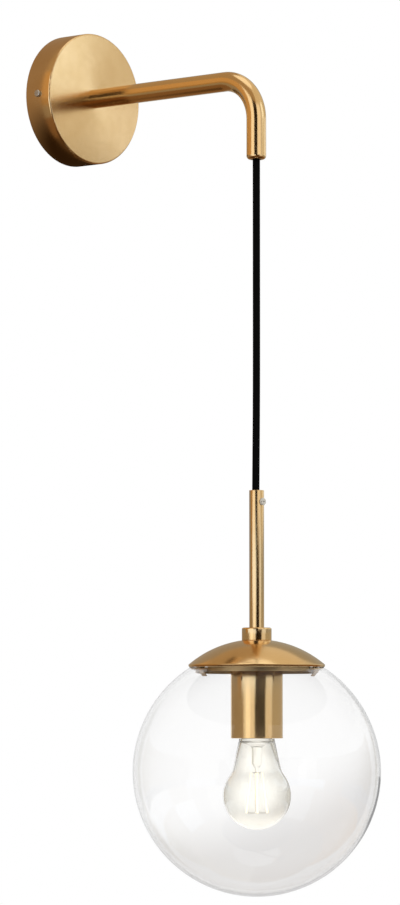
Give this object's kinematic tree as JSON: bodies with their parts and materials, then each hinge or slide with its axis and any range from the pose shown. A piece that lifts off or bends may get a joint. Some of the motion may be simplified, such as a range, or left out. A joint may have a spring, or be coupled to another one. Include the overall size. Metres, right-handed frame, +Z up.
{
  "type": "wall lamp",
  "caption": "Wall lamp in satin brass: a round canopy with a bent arm from which a clear glass globe hangs on a black cord, under a brass stem and dome cap.",
  "frame": {"origin": "Centre of the canopy's back edge on the wall, midway between the wall screws.", "axes": "+Y goes into the wall, +Z is up, +X is to the right of someone facing the wall."},
  "size_m": [0.2, 0.308, 0.7182],
  "materials": {
    "satin_brass": "satin brushed brass under clear lacquer",
    "zinc_steel": "zinc plated",
    "dull_brass": "spun brass, dull and darkened",
    "spring_bronze": "plain spring bronze",
    "natural_nylon": "natural nylon, slightly translucent",
    "black_nylon": "matt",
    "cord_sheath": "matt black sheath",
    "white_polyamide": "moulded, matt",
    "contact_brass": "bright, plain",
    "brown_core": "insulated core, brown",
    "blue_core": "insulated core, blue",
    "earth_core": "insulated core, green and yellow",
    "holder_core": "insulated cores, brown and blue",
    "silicone": "dark brown silicone",
    "clear_glass": "clear, polished",
    "black_holder": "thermoset, matt",
    "porcelain": "unglazed steatite",
    "cap_nickel": "nickel plated",
    "black_insulator": "black glass",
    "filament_glow": "phosphor coated, lit",
    "support_wire": "drawn wire"
  },
  "bodies": {
    "wall_unit": {"wall_bracket": "zinc_steel", "wall_canopy": "satin_brass", "canopy_side_screws": "zinc_steel", "arm_end_bush": "zinc_steel", "arm_nipple": "zinc_steel", "arm_lock_washer": "zinc_steel", "arm_lock_nut": "zinc_steel", "canopy_cord_grip": "natural_nylon", "canopy_grip_screw": "natural_nylon", "terminal_block": "white_polyamide", "terminal_barrels": "contact_brass", "terminal_screws": "zinc_steel", "terminal_fixing_screws": "zinc_steel", "live_lead": "brown_core", "neutral_lead": "blue_core", "earth_lead": "earth_core", "earth_lug": "contact_brass", "earth_screw": "zinc_steel", "earth_bond_lead": "earth_core", "arm_tube": "satin_brass", "arm_cord": "cord_sheath", "arm_tip_bush": "black_nylon"},
    "cord": {"pendant_cord": "cord_sheath"},
    "pendant": {"stem_tube": "satin_brass", "cord_grip_screw": "natural_nylon", "stem_cord": "cord_sheath", "stem_nipple": "zinc_steel", "stem_collar": "satin_brass", "cap_dome": "satin_brass", "cap_spacer": "zinc_steel", "gallery_pan": "dull_brass", "globe_springs": "spring_bronze", "spring_rivets": "zinc_steel", "globe_gasket": "silicone", "socket_cup": "satin_brass", "cup_washer": "zinc_steel", "cup_lock_nut": "zinc_steel", "holder_cap": "black_holder", "holder_barrel": "black_holder", "holder_insert": "porcelain", "screw_shell": "contact_brass", "centre_contact": "contact_brass", "holder_screws": "zinc_steel", "holder_leads": "holder_core"},
    "globe": {"globe_glass": "clear_glass"},
    "bulb_base": {"bulb_contact": "contact_brass", "bulb_insulator": "black_insulator"},
    "bulb": {"bulb_cap": "cap_nickel", "bulb_glass": "clear_glass", "bulb_mount": "clear_glass", "bulb_filaments": "filament_glow", "bulb_wires": "support_wire"}
  },
  "joints": [
    {"name": "cord_swing", "type": "hinge", "parent": "wall_unit", "child": "cord", "pos_m": [0, -0.208, -0.067], "axis": [0, 1, 0], "range_deg": [-25, 25]},
    {"name": "pendant_tilt", "type": "hinge", "parent": "cord", "child": "pendant", "pos_m": [0, -0.208, -0.336], "axis": [1, 0, 0], "range_deg": [-25, 25]},
    {"name": "globe_drop", "type": "slide", "parent": "pendant", "child": "globe", "axis": [0, 0, -1], "range_m": [0, 0.18], "deforming": ["globe_springs"]},
    {"name": "bulb_travel", "type": "slide", "parent": "pendant", "child": "bulb_base", "axis": [0, 0, -1], "range_m": [0, 0.02177]},
    {"name": "bulb_turn", "type": "hinge", "parent": "bulb_base", "child": "bulb", "pos_m": [0, -0.208, -0.5097], "axis": [0, 0, -1], "range_deg": [0, 2160]}
  ],
  "couplings": [
    {"joint": "bulb_turn", "follows": "bulb_travel", "rad_per_m": 1731.4}
  ]
}
